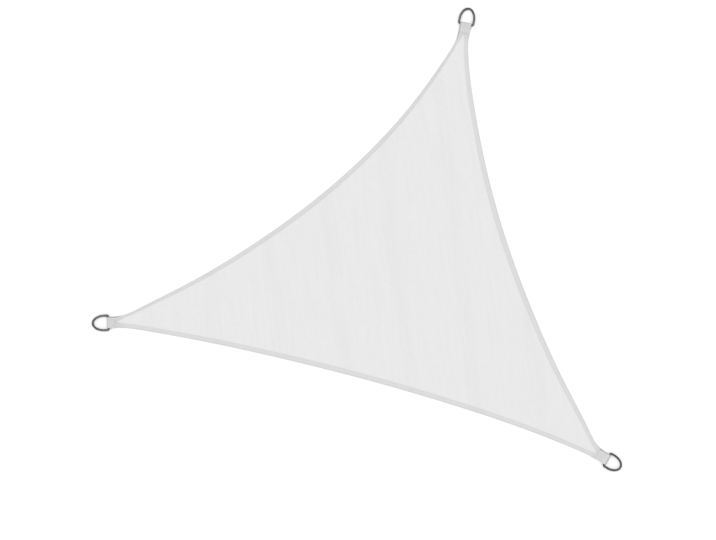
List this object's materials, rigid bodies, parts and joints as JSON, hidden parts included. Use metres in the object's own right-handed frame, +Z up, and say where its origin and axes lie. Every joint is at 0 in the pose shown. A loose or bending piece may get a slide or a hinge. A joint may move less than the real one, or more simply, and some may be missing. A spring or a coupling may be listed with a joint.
{
  "type": "shade sail",
  "caption": "Triangular knitted shade sail with hollow hemmed edges and a D-ring on a webbing tab at each corner, lying flat.",
  "frame": {"origin": "on the ground under the middle of the whole outline, rings included", "axes": "+X along the foot, from the left corner to the right one; +Y towards the peak; +Z up, out of the hemmed side"},
  "size_m": [2.1956, 1.6354, 0.0118],
  "materials": {
    "shade_cloth": "matt knitted tape yarn",
    "webbing": "woven, slightly glossy",
    "ring_steel": "smooth drawn wire, half polished"
  },
  "bodies": {
    "root": {"sail_cloth": "shade_cloth", "tab_left": "webbing", "tab_right": "webbing", "tab_peak": "webbing", "ring_left": "ring_steel", "ring_right": "ring_steel", "ring_peak": "ring_steel"}
  },
  "joints": []
}
